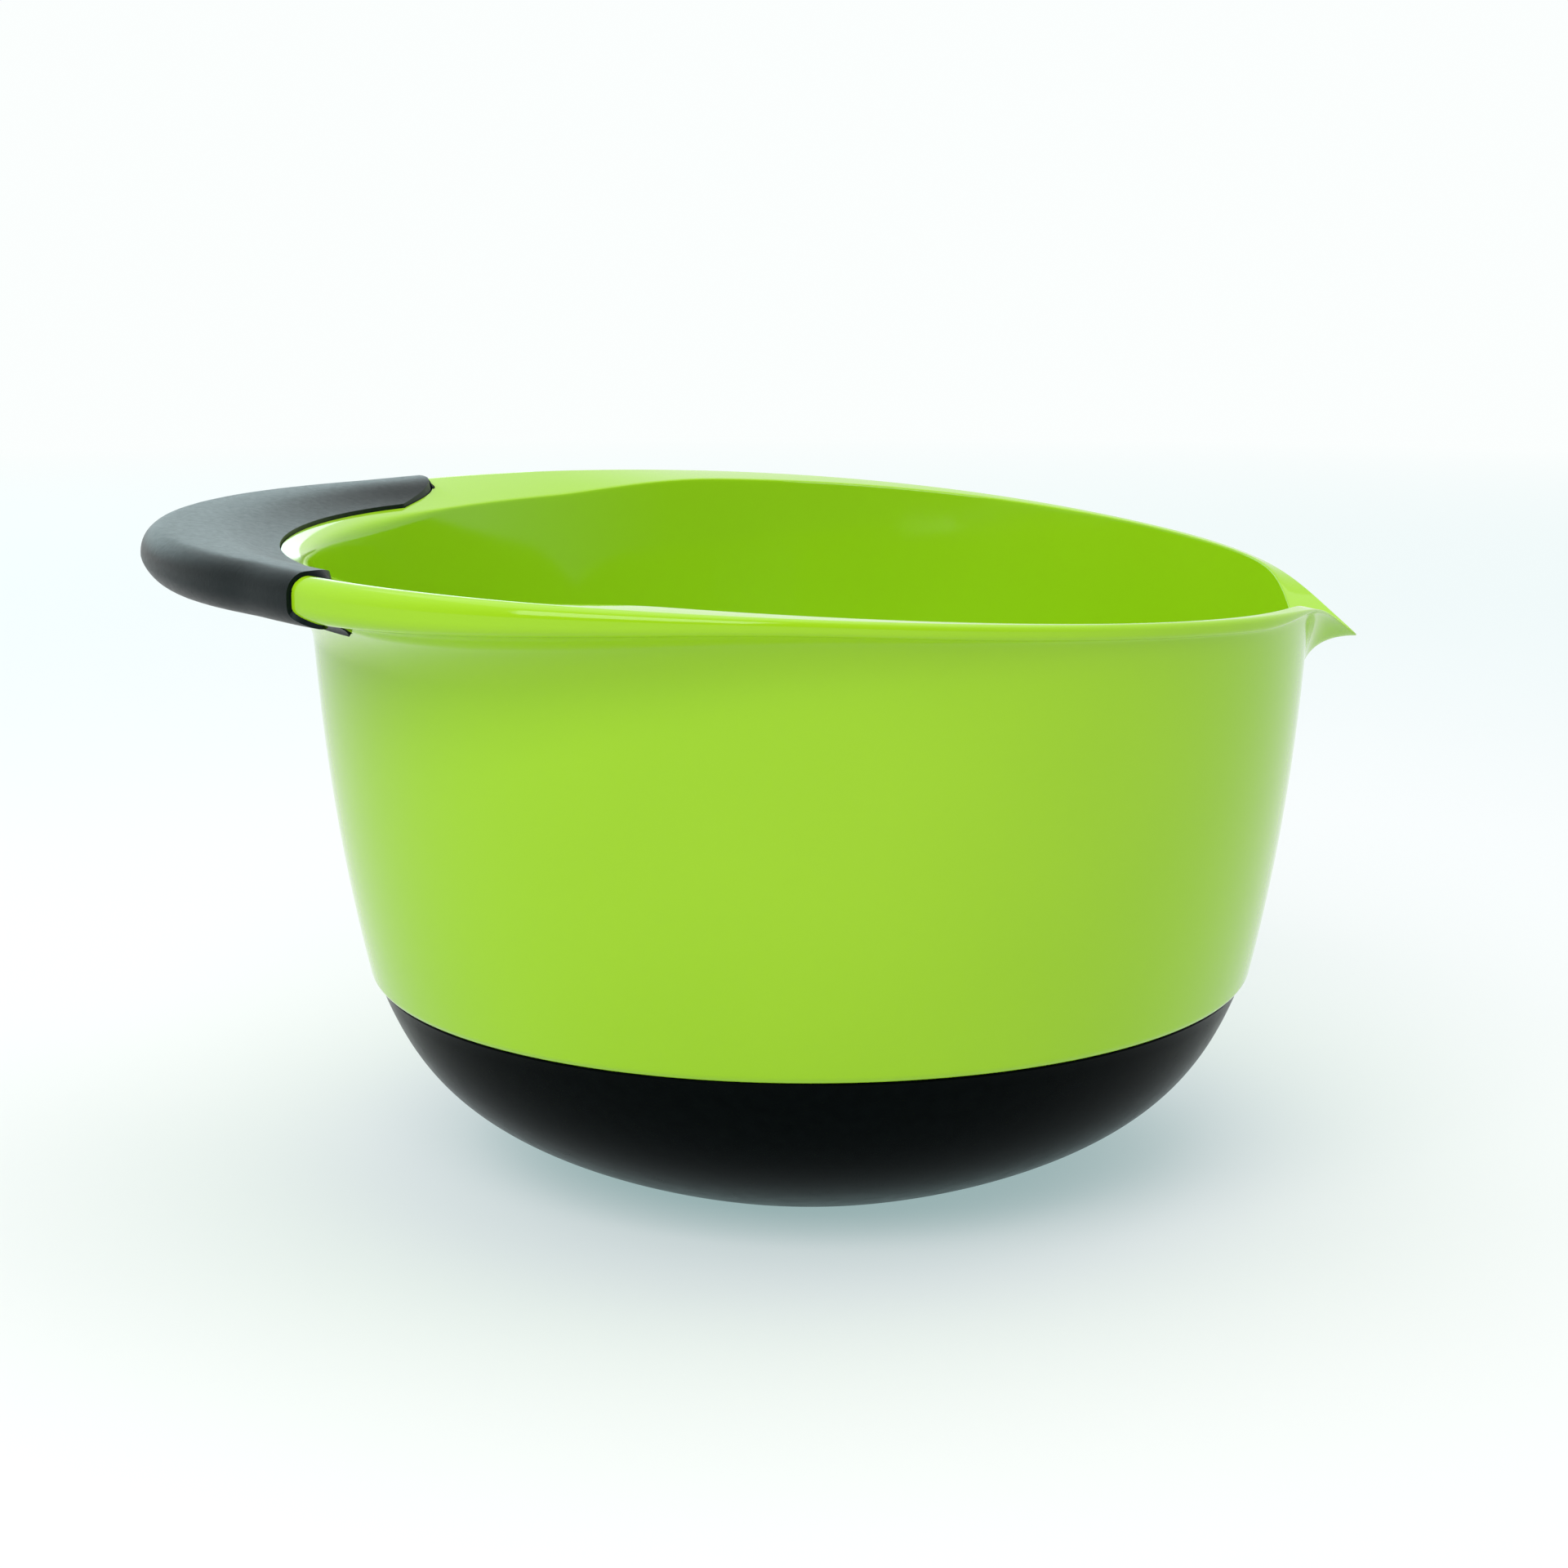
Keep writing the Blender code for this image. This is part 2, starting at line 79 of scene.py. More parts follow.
# The rim's crest, the spout and the rim's edge.
EDGE_ROUND_SHARE = 0.4
EDGE_AT_SPOUT = 0.0005
SPOUT_REACH = 0.0118
SPOUT_DROP = 0.0130
SPOUT_SPREAD = radians(6.2)
SPOUT_DROP_SPREAD = radians(8.0)
SPOUT_BLUNTNESS = radians(1.0)
CREST_RADIUS_FRONT = shell_high.x - SPOUT_REACH - EDGE_ROUND_SHARE * EDGE_AT_SPOUT
CREST_RADIUS_BACK = 0.1488
CREST_WIDENS_FROM = radians(40)
CREST_WIDENS_TO = radians(165)
CREST_HEIGHT_BACK = 0.1620
CREST_FALL = 0.0150
CREST_FALL_POWER = 2.05
EDGE_FRONT = 0.0036
EDGE_BACK = 0.0105
EDGE_GROWS_FROM = radians(85)
EDGE_GROWS_TO = radians(140)
EDGE_THINS_FROM = radians(34)
EDGE_THINS_TO = radians(12)
UNDERSIDE_PULL = 0.5
UNDERSIDE_PULL_AT_SPOUT = 0.8
JOIN_PULL = 0.37
UNDERCUT_LEAST = 0.0040
UNDERCUT_MOST = 0.0160
UNDERCUT_WIDTH = 0.0080

# The rim's inner side: the wall turns at a fold into a ledge that rises gently to the crest.
FOLD_ROUND = 0.0013
FOLD_ROUND_AT_HANDLE = 0.0070
FOLD_SOFTENS_FROM = radians(142)
FOLD_SOFTENS_TO = radians(165)
LEDGE_SLOPE_FRONT = radians(4)
LEDGE_SLOPE_BACK = radians(14.5)
LEDGE_STEEPENS_FROM = radians(103)
LEDGE_STEEPENS_TO = radians(127)

# The notch that the spout's channel makes in the fold.
NOTCH_DEPTH = 0.0113
NOTCH_SPREAD = radians(10.5)

# The grip: a crescent round the handle, rounded off above the rim at each end, with a tongue below it.
GRIP_ARC_CENTRE = 0.0570
GRIP_ARC_RADIUS = -grip_low.x - GRIP_ARC_CENTRE
GRIP_END = radians(40.6)
GRIP_TOP_ROUND = radians(10.3)
GRIP_TOP_ROUND_POWER = 2.2
GRIP_LOW_TONGUE = radians(2.4)
GRIP_LOW_CUT = radians(2.5)
GRIP_INNER_RADIUS = 0.1320
GRIP_INNER_NARROWS = 0.0060
GRIP_RISE = grip_high.z - CREST_HEIGHT_BACK
GRIP_CROWN = 0.0004
GRIP_TOP_PULL = 0.4
GRIP_PARTING_DEPTH = 0.0074
GRIP_DEPTH = 0.0135
GRIP_ROUND = 0.0068
GRIP_LOW_LEAN = radians(25)
GRIP_PROUD = 0.0010
GRIP_BLEND = 0.0015
GRIP_RECESS = 0.0018
GRIP_TOP_SHARE = 0.40
GRIP_LOW_SHARE = 0.72
GRIP_LOW_WIDTH = 0.12
GRIP_LAST_STEPS = 13

# How much further than the gap a corner of the grip's cutter may move out.
SHARPEST_CORNER = 2.0

# How near two points are joined, and from which angle on an edge looks sharp.
MERGE_DISTANCE = 1e-6
SHARP_ANGLE = radians(35)

# How finely the shapes are divided.
SHELL_COLUMNS = 150
SPOUT_CROWDING = 1.5
CAP_STEPS = 256
GRIP_COLUMNS = 160
GRIP_POINTS = 96
CURVE_STEPS = 24
JOIN_STEPS = 12
CAP_CURVE_STEPS = 40
WALL_STEPS = 24
ROUND_STEPS = 10
CAP_EDGE_STEPS = 4

# The green plastic: its two shades, its roughness and gloss, and its patches, smears, waves and grain.
GREEN_SHADES = ((0.315, 0.600, 0.0080), (0.345, 0.640, 0.0110))
GREEN_ROUGHNESS = (0.06, 0.09)
GREEN_IOR = 1.42
GREEN_PATCH_SCALE = 9
GREEN_SMEAR_SCALE = 60
GREEN_WAVE_SCALE = 14
GREEN_WAVE_DEPTH = 0.0003
GREEN_WAVE_STRENGTH = 0.4
GREEN_GRAIN_SCALE = 1500
GREEN_GRAIN_DEPTH = 0.00001
GREEN_GRAIN_STRENGTH = 0.3

# The grip's rubber: the same, with a rough grain and a cool sheen.
GRIP_SHADES = ((0.0010, 0.0022, 0.0026), (0.0035, 0.0068, 0.0075))
GRIP_ROUGHNESS = (0.32, 0.40)
GRIP_SHEEN = (0.70, 0.96, 1.0, 1.0)
GRIP_IOR = 1.24
GRIP_SPECK_SCALE = 1600
GRIP_SPECK_ROUGHNESS = 0.7
GRIP_SMEAR_SCALE = 700
GRIP_GRAIN_SCALE = 2200
GRIP_GRAIN_DETAIL = 5
GRIP_GRAIN_DEPTH = 0.00010
GRIP_GRAIN_STRENGTH = 0.6

# The base's rubber: the same, smoother and duller.
BASE_SHADES = ((0.0009, 0.0016, 0.0017), (0.0018, 0.0030, 0.0031))
BASE_ROUGHNESS = (0.22, 0.28)
BASE_SHEEN = (0.85, 0.97, 1.0, 1.0)
BASE_IOR = 1.08
BASE_PATCH_SCALE = 300
BASE_PATCH_DETAIL = 3
BASE_SMEAR_SCALE = 220
BASE_GRAIN_SCALE = 1800
BASE_GRAIN_DEPTH = 0.00003
BASE_GRAIN_STRENGTH = 0.3

# How detailed the noise is that most of these use, and the Mix node's sockets that hold colours.
FINE_DETAIL = 4
MIX_LOW = 6
MIX_HIGH = 7
MIX_RESULT = 2

# The floor: a square sheet. Its glow goes from one strength and colour near the bowl to white far from it.
# Near the bowl the glow is painted light, which lifts the bowl's shadow and tints it cyan.
WHITE = (0.968, 0.995, 0.988)
BLACK = (0, 0, 0)
FLOOR_REACH = 12.0
FLOOR_NEAR = 0.45
FLOOR_FAR = 1.8
FLOOR_PAINT = ((0.540, 0.452, 0.455), (0.550, 0.462, 0.465))
FLOOR_PAINT_SCALE = 3
FLOOR_PAINTED_GLOW = ((0.700, 0.985, 1.000), (0.715, 0.995, 1.000))
FLOOR_GLOW_SCALE = 2
FLOOR_PAINTED_GLOW_NEAR = 0.44
FLOOR_ROUGHNESS = (0.85, 0.95)
FLOOR_SMEAR_SCALE = 30

# The surroundings' brightness on the side that faces the bowl's front, and where it goes over into white.
WORLD_FRONT = 0.10
WORLD_DARK_TO = -0.8
WORLD_WHITE_FROM = 0.0

# The soft lights: name, place, width, height, power and colour. All face a point inside the bowl.
LIGHTS = (
    ("overhead", (0.0, 0.3, 1.4), 1.6, 1.2, 5, (1.0, 1.0, 1.0)),
    ("front", (-0.5, -1.5, 1.4), 1.6, 1.2, 26, (1.0, 1.0, 1.0)),
    ("back", (-0.80, 1.5, 0.58), 1.3, 0.6, 3.8, (0.66, 0.96, 1.0)),
)
LIGHTS_AIM = (0, 0, 0.1)

# The camera: its distance from the bowl's axis, its height, and where it looks.
CAMERA_DISTANCE = 0.8180
CAMERA_HEIGHT = 0.2663
CAMERA_TURN = radians(1.0)
CAMERA_LOOKS_DOWN = radians(11.854)
CAMERA_LENS = 75
CAMERA_SENSOR = 36
CAMERA_SHIFT = -0.0167


# Curves and sections.


def ease(t):
    """0 to 1, level at both ends."""
    t = min(max(t, 0.0), 1.0)
    return t * t * (3 - 2 * t)


def between(a, b, t):
    return a + (b - a) * t


def curve(start, start_pull, end_pull, end, steps):
    """A cubic curve through start and end, as steps + 1 points."""
    points = []
    for i in range(steps + 1):
        t = i / steps
        weights = ((1 - t) ** 3, 3 * (1 - t) ** 2 * t, 3 * (1 - t) * t * t, t**3)
        corners = (start, start_pull, end_pull, end)
        points.append(tuple(sum(w * c[k] for w, c in zip(weights, corners)) for k in (0, 1)))
    return points


def arc(centre, radius, start, end, steps):
    """Points on a circle in the section plane, from one angle to another."""
    turns = [between(start, end, i / steps) for i in range(steps + 1)]
    return [(centre[0] + radius * cos(a), centre[1] + radius * sin(a)) for a in turns]


def offset(points, distance):
    """The same line moved sideways, to the left of its direction."""
    moved = []
    last = len(points) - 1
    for i, (r, z) in enumerate(points):
        before, after = points[max(i - 1, 0)], points[min(i + 1, last)]
        along = (after[0] - before[0], after[1] - before[1])
        length = hypot(*along)
        moved.append((r - distance * along[1] / length, z + distance * along[0] / length))
    return moved


def ahead(line, distance):
    """The point this far beyond the end of a line, straight on."""
    (r0, z0), (r1, z1) = line[-2:]
    length = hypot(r1 - r0, z1 - z0)
    return (r1 + distance * (r1 - r0) / length, z1 + distance * (z1 - z0) / length)


def join(line, following):
    """One line carried on into another by a soft curve."""
    start, end = line[-1], following[0]
    pull = JOIN_PULL * hypot(end[0] - start[0], end[1] - start[1])
    bridge = curve(start, ahead(line, pull), ahead(following[::-1], pull), end, JOIN_STEPS)
    return line + bridge[1:-1] + following


def lengths_along(points):
    lengths = [0.0]
    for here, following in zip(points, points[1:]):
        lengths.append(lengths[-1] + hypot(following[0] - here[0], following[1] - here[1]))
    return lengths


def stretch(points, start, end, count):
    """Points evenly spaced along a line, between two distances from its first point."""
    lengths = lengths_along(points)
    spaced = []
    k = 0
    for i in range(count):
        distance = between(start, end, i / (count - 1))
        while k < len(points) - 2 and lengths[k + 1] < distance:
            k += 1
        t = (distance - lengths[k]) / (lengths[k + 1] - lengths[k])
        spaced.append(tuple(between(points[k][a], points[k + 1][a], t) for a in (0, 1)))
    return spaced


def distance_to(points, radius):
    """How far along a line it is to the first point at this distance from the axis."""
    lengths = lengths_along(points)
    for i, following in enumerate(points[1:]):
        if following[0] >= radius:
            here = points[i]
            share = (radius - here[0]) / (following[0] - here[0])
            return between(lengths[i], lengths[i + 1], share)
    return lengths[-1]


# The bowl's shape, as functions of the angle from the spout.


def wall_radius(z):
    below = max(WALL_TOP_Z - z, 0.0)
    belly = WALL_BELLY * (below / (WALL_TOP_Z - WALL_END_Z)) ** WALL_BELLY_POWER
    return WALL_TOP_RADIUS + WALL_TAPER * (z - WALL_TOP_Z) - belly


def inner_radius(z):
    """The inner wall: the outer wall less its thickness, which falls slightly towards the top."""
    return wall_radius(z) - WALL_THICKNESS + INNER_LEAN * max(z - INNER_WALL_Z, 0)


def spout_pull(angle, spread):
    """1 at the spout's point, fading to 0 along the rim."""
    away = hypot(angle, SPOUT_BLUNTNESS) - SPOUT_BLUNTNESS
    return exp(-away / spread)


def plain_crest(angle):
    """The crest as it would run without the spout: (distance from the axis, height)."""
    widening = ease((angle - CREST_WIDENS_FROM) / (CREST_WIDENS_TO - CREST_WIDENS_FROM))
    radius = between(CREST_RADIUS_FRONT, CREST_RADIUS_BACK, widening)
    height = CREST_HEIGHT_BACK - CREST_FALL * ((1 + cos(angle)) / 2) ** CREST_FALL_POWER
    return radius, height


def crest(angle):
    """The rim's outermost line on top: (distance from the axis, height)."""
    radius, height = plain_crest(angle)
    radius += SPOUT_REACH * spout_pull(angle, SPOUT_SPREAD)
    height -= SPOUT_DROP * spout_pull(angle, SPOUT_DROP_SPREAD)
    return radius, height


def edge_height(angle):
    """How high the rim's outer edge is: highest at the handle, and thin at the spout."""
    growth = ease((angle - EDGE_GROWS_FROM) / (EDGE_GROWS_TO - EDGE_GROWS_FROM))
    thinning = ease((angle - EDGE_THINS_FROM) / (EDGE_THINS_TO - EDGE_THINS_FROM))
    return between(between(EDGE_FRONT, EDGE_BACK, growth), EDGE_AT_SPOUT, thinning)


def underside(start, end, level_pull=UNDERSIDE_PULL):
    """A soft curve from a lip's lower edge in to the wall."""
    start_pull = (between(start[0], end[0], level_pull), start[1])
    rise = UNDERSIDE_PULL * (start[1] - end[1])
    end_pull = (end[0] + WALL_TAPER * rise, end[1] + rise)
    return curve(start, start_pull, end_pull, end, CURVE_STEPS)


def undercut(angle):
    """How far below the rim's lower edge its underside meets the wall: further for a wider rim."""
    width = crest(angle)[0] - WALL_TOP_RADIUS
    return between(UNDERCUT_MOST, UNDERCUT_LEAST, exp(-width / UNDERCUT_WIDTH))


def fold(angle):
    """Where the inner wall turns into the ledge: (distance from the axis, height)."""
    crest_r, crest_z = plain_crest(angle)
    steepening = ease((angle - LEDGE_STEEPENS_FROM) / (LEDGE_STEEPENS_TO - LEDGE_STEEPENS_FROM))
    slope = between(LEDGE_SLOPE_FRONT, LEDGE_SLOPE_BACK, steepening)
    ledge_drop = (crest_r - inner_radius(crest_z)) * tan(slope)
    z = crest_z - ledge_drop - NOTCH_DEPTH * exp(-((angle / NOTCH_SPREAD) ** 2))
    return inner_radius(z), z


def ledge_slope(angle):
    """The ledge's slope from the fold to the crest: below level at the spout, where it leads down."""
    crest_r, crest_z = crest(angle)
    fold_r, fold_z = fold(angle)
    return atan((crest_z - fold_z) / (crest_r - fold_r))


def flare(angle):
    """The rim's inner side: the top of the wall, the fold, and the ledge from there to the crest."""
    crest_r, crest_z = crest(angle)
    fold_r, fold_z = fold(angle)
    slope = ledge_slope(angle)
    rounding = EDGE_ROUND_SHARE * edge_height(angle)
    ledge_end = (crest_r - rounding * sin(slope), crest_z - rounding * (1 - cos(slope)))
    softening = ease((angle - FOLD_SOFTENS_FROM) / (FOLD_SOFTENS_TO - FOLD_SOFTENS_FROM))
    fold_round = between(FOLD_ROUND, FOLD_ROUND_AT_HANDLE, softening)
    fold_round = min(fold_round, (ledge_end[0] - fold_r) / 2)
    before = (inner_radius(fold_z - fold_round), fold_z - fold_round)
    after = (fold_r + fold_round * cos(slope), fold_z + fold_round * sin(slope))
    return curve(before, fold(angle), fold(angle), after, ROUND_STEPS) + [ledge_end]


def rim(angle, inset=0.0):
    """The shell's rim, from the inner wall to the outer wall, or a line this far under its surface."""
    crest_r, crest_z = crest(angle)
    height = edge_height(angle)
    rounding = EDGE_ROUND_SHARE * height
    inset_round = max(rounding - inset, rounding / 4)
    outer = crest_r + rounding - inset
    top_z = crest_z - inset
    end_z = crest_z - height - undercut(angle)
    points = offset(flare(angle), -inset)[:-1]
    centre = (outer - inset_round, top_z - inset_round)
    points += arc(centre, inset_round, pi / 2 + ledge_slope(angle), 0, ROUND_STEPS)
    low_centre = (outer - inset_round, top_z - height + 2 * inset + inset_round)
    points += arc(low_centre, inset_round, 0, -pi / 2, ROUND_STEPS)
    level_pull = between(UNDERSIDE_PULL, UNDERSIDE_PULL_AT_SPOUT, spout_pull(angle, SPOUT_SPREAD))
    return points + underside(points[-1], (wall_radius(end_z) - inset, end_z), level_pull)[1:]


def cap_outside():
    """The base cap's outer line, from its top edge down to the foot's edge."""
    top = (CAP_TOP_RADIUS, CAP_TOP_Z)
    foot = (FOOT_RADIUS, 0.0)
    top_pull = (top[0] - CAP_TOP_PULL * sin(CAP_TOP_LEAN), top[1] - CAP_TOP_PULL * cos(CAP_TOP_LEAN))
    foot_pull = (foot[0] + FOOT_PULL * cos(FOOT_LEAN), foot[1] + FOOT_PULL * sin(FOOT_LEAN))
    return curve(top, top_pull, foot_pull, foot, CAP_CURVE_STEPS)


def cap_inside():
    """The base cap's inner line, from its top edge down to its flat floor."""
    line = offset(cap_outside(), -CAP_THICKNESS)
    line[0] = (line[0][0], CAP_TOP_Z)
    kept = [point for point in line if point[1] > CAP_THICKNESS]
    return kept + [(kept[-1][0] - CAP_THICKNESS, CAP_THICKNESS)]


def seat_in_cap():
    """The shell's line inside the cap, clear of it by the gap."""
    line = offset(cap_inside(), -GAP)
    return [(line[0][0], WALL_END_Z)] + line[1:-1] + [(line[-1][0] - GAP, CAP_THICKNESS + GAP)]


def shell_outside(angle):
    """The outer side below the rim: the wall, its rounded lower edge, the step and the part in the cap."""
    start_z = rim(angle)[-1][1]
    slope = atan(WALL_TAPER + WALL_BELLY * WALL_BELLY_POWER / (WALL_TOP_Z - WALL_END_Z))
    round_z = WALL_END_Z + WALL_EDGE_ROUND * (sin(WALL_EDGE_TURN) - sin(slope))
    points = []
    for i in range(1, WALL_STEPS + 1):
        z = between(start_z, round_z, i / WALL_STEPS)
        points.append((wall_radius(z), z))
    r, z = points[-1]
    centre = (r - WALL_EDGE_ROUND * cos(slope), z + WALL_EDGE_ROUND * sin(slope))
    points += arc(centre, WALL_EDGE_ROUND, -slope, -WALL_EDGE_TURN, ROUND_STEPS)[1:]
    return points + seat_in_cap()


def shell_inside(angle):
    """The inner side, from the flat bottom up to the start of the flare."""
    floor_z = CAP_THICKNESS + GAP + WALL_THICKNESS
    floor = [(FLOOR_RADIUS / 2, floor_z), (FLOOR_RADIUS, floor_z)]
    bowl = [point for point in offset(cap_outside(), -floor_z)[::-1] if point[1] > BOWL_CURVE_Z]
    top_z = flare(angle)[0][1]
    wall = []
    for i in range(WALL_STEPS):
        z = between(INNER_WALL_Z, top_z, i / WALL_STEPS)
        wall.append((inner_radius(z), z))
    return join(join(floor, bowl), wall)


# The grip's shape, as functions of the angle away from the handle's middle.


def grip_end(share):
    """The grip's half angle, at a share of the way over its section: rounded above, a tongue below."""
    top = max(1 - share / GRIP_TOP_SHARE, 0) ** GRIP_TOP_ROUND_POWER
    low = ease(1 - abs(share - GRIP_LOW_SHARE) / GRIP_LOW_WIDTH)
    inmost = ease((share - GRIP_LOW_SHARE - GRIP_LOW_WIDTH / 2) / GRIP_LOW_WIDTH)
    return GRIP_END - GRIP_TOP_ROUND * top + GRIP_LOW_TONGUE * low - GRIP_LOW_CUT * inmost


def grip_span(line, inner_r):
    """Where the grip starts and ends on a line over the rim, as distances from its first point."""
    return distance_to(line, inner_r), lengths_along(line)[-GRIP_LAST_STEPS]


def grip_lines(away):
    """The grip's outer and inner line, at an angle away from the handle's middle."""
    angle = pi - away
    crest_r, crest_z = crest(angle)
    body = ease(1 - away / GRIP_END)
    inner_r = GRIP_INNER_RADIUS - GRIP_INNER_NARROWS * (away / GRIP_END) ** 3
    seat = rim(angle, GRIP_RECESS)
    inner = stretch(seat, *grip_span(seat, inner_r), GRIP_POINTS)
    skin = offset(rim(angle), GRIP_PROUD)
    first, last = stretch(skin, *grip_span(skin, inner_r), 2)

    arc_r = GRIP_ARC_CENTRE * cos(away) + sqrt(GRIP_ARC_RADIUS**2 - (GRIP_ARC_CENTRE * sin(away)) ** 2)
    height = edge_height(angle)
    edge_round = EDGE_ROUND_SHARE * height + GRIP_PROUD
    rim_r = crest_r + edge_round
    outer_r = (arc_r + rim_r + hypot(arc_r - rim_r, GRIP_BLEND)) / 2
    rounding = between(edge_round, GRIP_ROUND, body)
    top_z = crest_z + between(GRIP_PROUD, GRIP_RISE, body)
    parting_z = top_z - between(height / 2 + GRIP_PROUD, GRIP_PARTING_DEPTH, body)
    bottom_z = top_z - between(height + 2 * GRIP_PROUD, GRIP_DEPTH, body)
    lip_r = outer_r - rounding
    reach = GRIP_TOP_PULL * (lip_r - first[0])
    first_pull = (first[0] + reach, first[1] + reach * sin(LEDGE_SLOPE_BACK))
    crest_pull = ((lip_r + first[0]) / 2, top_z - GRIP_CROWN * body)
    points = curve(first, first_pull, crest_pull, (lip_r, top_z), CURVE_STEPS)[:-1]
    points += arc((lip_r, top_z - rounding), rounding, pi / 2, 0, ROUND_STEPS)
    lean = GRIP_LOW_LEAN * body
    low_round = between(edge_round, (parting_z - bottom_z) / (1 - sin(lean)), body)
    low_centre = (outer_r - low_round * cos(lean), bottom_z + low_round)
    points += arc(low_centre, low_round, -lean, -pi / 2, ROUND_STEPS)
    whole = points + underside(points[-1], last)[1:]
    return stretch(whole, 0, lengths_along(whole)[-1], GRIP_POINTS), inner


# Meshes.


def place(angle, point):
    return (point[0] * cos(angle), point[0] * sin(angle), point[1])


def add_object(name, mesh, material):
    obj = bpy.data.objects.new(name, mesh)
    mesh.materials.append(material)
    bpy.context.scene.collection.objects.link(obj)
    return obj


def finish_mesh(name, bm):
    bmesh.ops.remove_doubles(bm, verts=bm.verts, dist=MERGE_DISTANCE)
    bmesh.ops.recalc_face_normals(bm, faces=bm.faces)
    mesh = bpy.data.meshes.new(name)
    bm.to_mesh(mesh)
    bm.free()
    mesh.shade_smooth()
    mesh.set_sharp_from_angle(angle=SHARP_ANGLE)
    return mesh


def shell_mesh():
    """A loft of the shell's sections round the axis."""
    half = [pi * (i / SHELL_COLUMNS) ** SPOUT_CROWDING for i in range(SHELL_COLUMNS + 1)]
    turns = half + [-angle for angle in half[-2:0:-1]]
    outlines = {}
    for angle in half:
        outlines[angle] = shell_inside(angle) + rim(angle) + shell_outside(angle)
    bm = bmesh.new()
    rings = []
    for turn in turns:
        rings.append([bm.verts.new(place(turn, point)) for point in outlines[abs(turn)]])
    inner = bm.verts.new((0, 0, CAP_THICKNESS + GAP + WALL_THICKNESS))
    outer = bm.verts.new((0, 0, CAP_THICKNESS + GAP))
    for ring, following in zip(rings, rings[1:] + rings[:1]):
        bm.faces.new((inner, following[0], ring[0]))
        bm.faces.new((outer, ring[-1], following[-1]))
        for i in range(len(ring) - 1):
            bm.faces.new((ring[i], following[i], following[i + 1], ring[i + 1]))
    return finish_mesh("bowl", bm)


def grip_mesh():
    """A loft of the grip's sections along the crescent."""
    sections = {}
    bm = bmesh.new()
    columns = []
    for k in range(GRIP_COLUMNS + 1):
        swing = between(-1, 1, k / GRIP_COLUMNS)
        outer = []
        inner = []
        for i in range(GRIP_POINTS):
            away = round(abs(swing) * grip_end(i / (GRIP_POINTS - 1)), 6)
            if away not in sections:
                sections[away] = grip_lines(away)
            turn = pi - away if swing > 0 else pi + away
            outer.append(bm.verts.new(place(turn, sections[away][0][i])))
            inner.append(bm.verts.new(place(turn, sections[away][1][i])))
        columns.append(outer + inner[::-1])
    for ring, following in zip(columns, columns[1:]):
        for i in range(len(ring)):
            j = (i + 1) % len(ring)
            bm.faces.new((ring[i], following[i], following[j], ring[j]))
    for ring in (columns[0], columns[-1]):
        for i in range(GRIP_POINTS - 1):
            bm.faces.new((ring[i], ring[i + 1], ring[-i - 2], ring[-i - 1]))
    bmesh.ops.triangulate(bm, faces=bm.faces)
    return finish_mesh("grip", bm)


def cutter_mesh(mesh):
    """A copy of a mesh with its surface pushed out by the gap."""
    bm = bmesh.new()
    bm.from_mesh(mesh)
    moves = [vert.normal * GAP * min(vert.calc_shell_factor(), SHARPEST_CORNER) for vert in bm.verts]
    for vert, move in zip(bm.verts, moves):
        vert.co += move
    return finish_mesh("grip_cutter", bm)


def cap_mesh():
    """The base cap: its section turned about the axis."""
    centre = (CAP_TOP_RADIUS - CAP_EDGE_ROUND, CAP_TOP_Z - CAP_EDGE_ROUND)
    edge = [(centre[0], CAP_TOP_Z)] + arc(centre, CAP_EDGE_ROUND, pi / 2, 0, CAP_EDGE_STEPS)
    outside = edge + [point for point in cap_outside()[1:] if point[1] < centre[1]]
    outline = cap_inside()[::-1] + outside
    bm = bmesh.new()
    rings = []
    for k in range(CAP_STEPS):
        rings.append([bm.verts.new(place(2 * pi * k / CAP_STEPS, point)) for point in outline])
    inner = bm.verts.new((0, 0, CAP_THICKNESS))
    outer = bm.verts.new((0, 0, 0))
    for ring, following in zip(rings, rings[1:] + rings[:1]):
        bm.faces.new((inner, following[0], ring[0]))
        bm.faces.new((outer, ring[-1], following[-1]))
        for i in range(len(ring) - 1):
            bm.faces.new((ring[i], following[i], following[i + 1], ring[i + 1]))
    return finish_mesh("base", bm)


def cut_seat(shell, cutter):
    """Cuts the grip's seat into the shell for good, and removes the cutter."""
    cut = shell.modifiers.new("grip_seat", "BOOLEAN")
    cut.operation = "DIFFERENCE"
    cut.solver = "EXACT"
    cut.object = cutter
    evaluated = shell.evaluated_get(bpy.context.evaluated_depsgraph_get())
    bm = bmesh.new()
    bm.from_mesh(evaluated.data)
    shell.modifiers.clear()
    bmesh.ops.dissolve_degenerate(bm, edges=bm.edges, dist=MERGE_DISTANCE)
    mesh = finish_mesh("bowl", bm)
    mesh.materials.append(shell.data.materials[0])
    shell.data = mesh
    bpy.data.objects.remove(cutter)


# Materials.


